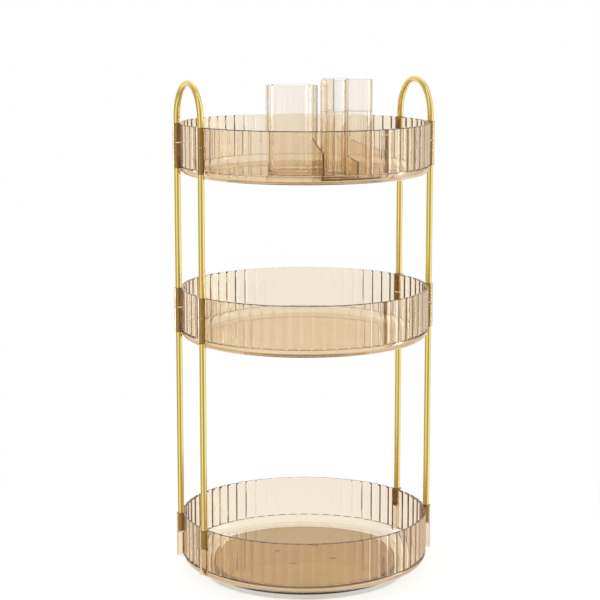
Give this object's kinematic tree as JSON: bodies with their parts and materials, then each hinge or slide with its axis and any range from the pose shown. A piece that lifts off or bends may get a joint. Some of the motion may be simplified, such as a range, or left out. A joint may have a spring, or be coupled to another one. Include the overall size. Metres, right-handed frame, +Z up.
{
  "type": "rotating three-tier cosmetics organizer",
  "caption": "Round open trays of clear amber fluted plastic, stacked on gold rods with hoop handles, on a ball-bearing turntable; lift-out cups and divider on top.",
  "frame": {"origin": "on the surface it stands on, under the axis of the turntable", "axes": "+Z up along the turntable's axis; the two hoops stand over the +X and -X sides; the divider insert faces -Y"},
  "size_m": [0.233, 0.23, 0.4662],
  "materials": {
    "tray_plastic": "clear amber, polished",
    "cup_plastic": "clear pale amber, polished",
    "gold_metal": "polished gold",
    "base_plastic": "satin white",
    "disc_plastic": "moulded, tan",
    "foot_rubber": "matt",
    "race_steel": "zinc plated",
    "screw_steel": "zinc plated",
    "ball_steel": "ground",
    "cage_plastic": "moulded"
  },
  "bodies": {
    "base": {"base_disc": "base_plastic", "rubber_feet": "foot_rubber", "lower_race": "race_steel", "lower_race_screws": "screw_steel"},
    "bearing_cage": {"ball_cage": "cage_plastic", "bearing_balls": "ball_steel"},
    "tower": {"turntable_disc": "disc_plastic", "upper_race": "race_steel", "upper_race_screws": "screw_steel", "centre_pin": "screw_steel", "pin_washer": "screw_steel", "tray_screws": "screw_steel", "bottom_tray": "tray_plastic", "middle_tray": "tray_plastic", "top_tray": "tray_plastic", "left_hoop": "gold_metal", "right_hoop": "gold_metal", "lower_rod_1": "gold_metal", "lower_rod_2": "gold_metal", "lower_rod_3": "gold_metal", "lower_rod_4": "gold_metal", "upper_rod_1": "gold_metal", "upper_rod_2": "gold_metal", "upper_rod_3": "gold_metal", "upper_rod_4": "gold_metal"},
    "divider": {"divider_insert": "tray_plastic"},
    "trefoil": {"trefoil_cup": "cup_plastic"},
    "brush_holder": {"brush_cup": "cup_plastic"}
  },
  "joints": [
    {"name": "turntable_spin", "type": "hinge", "parent": "base", "child": "tower", "pos_m": [0, 0, 0.00605], "axis": [0, 0, 1], "continuous": true},
    {"name": "cage_spin", "type": "hinge", "parent": "base", "child": "bearing_cage", "pos_m": [0, 0, 0.00605], "axis": [0, 0, 1], "continuous": true},
    {"name": "divider_lift", "type": "slide", "parent": "tower", "child": "divider", "axis": [0, 0, 1], "range_m": [0, 0.1]},
    {"name": "trefoil_lift", "type": "slide", "parent": "divider", "child": "trefoil", "axis": [0, 0, 1], "range_m": [0, 0.09]},
    {"name": "brush_cup_lift", "type": "slide", "parent": "tower", "child": "brush_holder", "axis": [0, 0, 1], "range_m": [0, 0.09]}
  ],
  "couplings": [
    {"joint": "cage_spin", "follows": "turntable_spin", "ratio": 0.5}
  ]
}
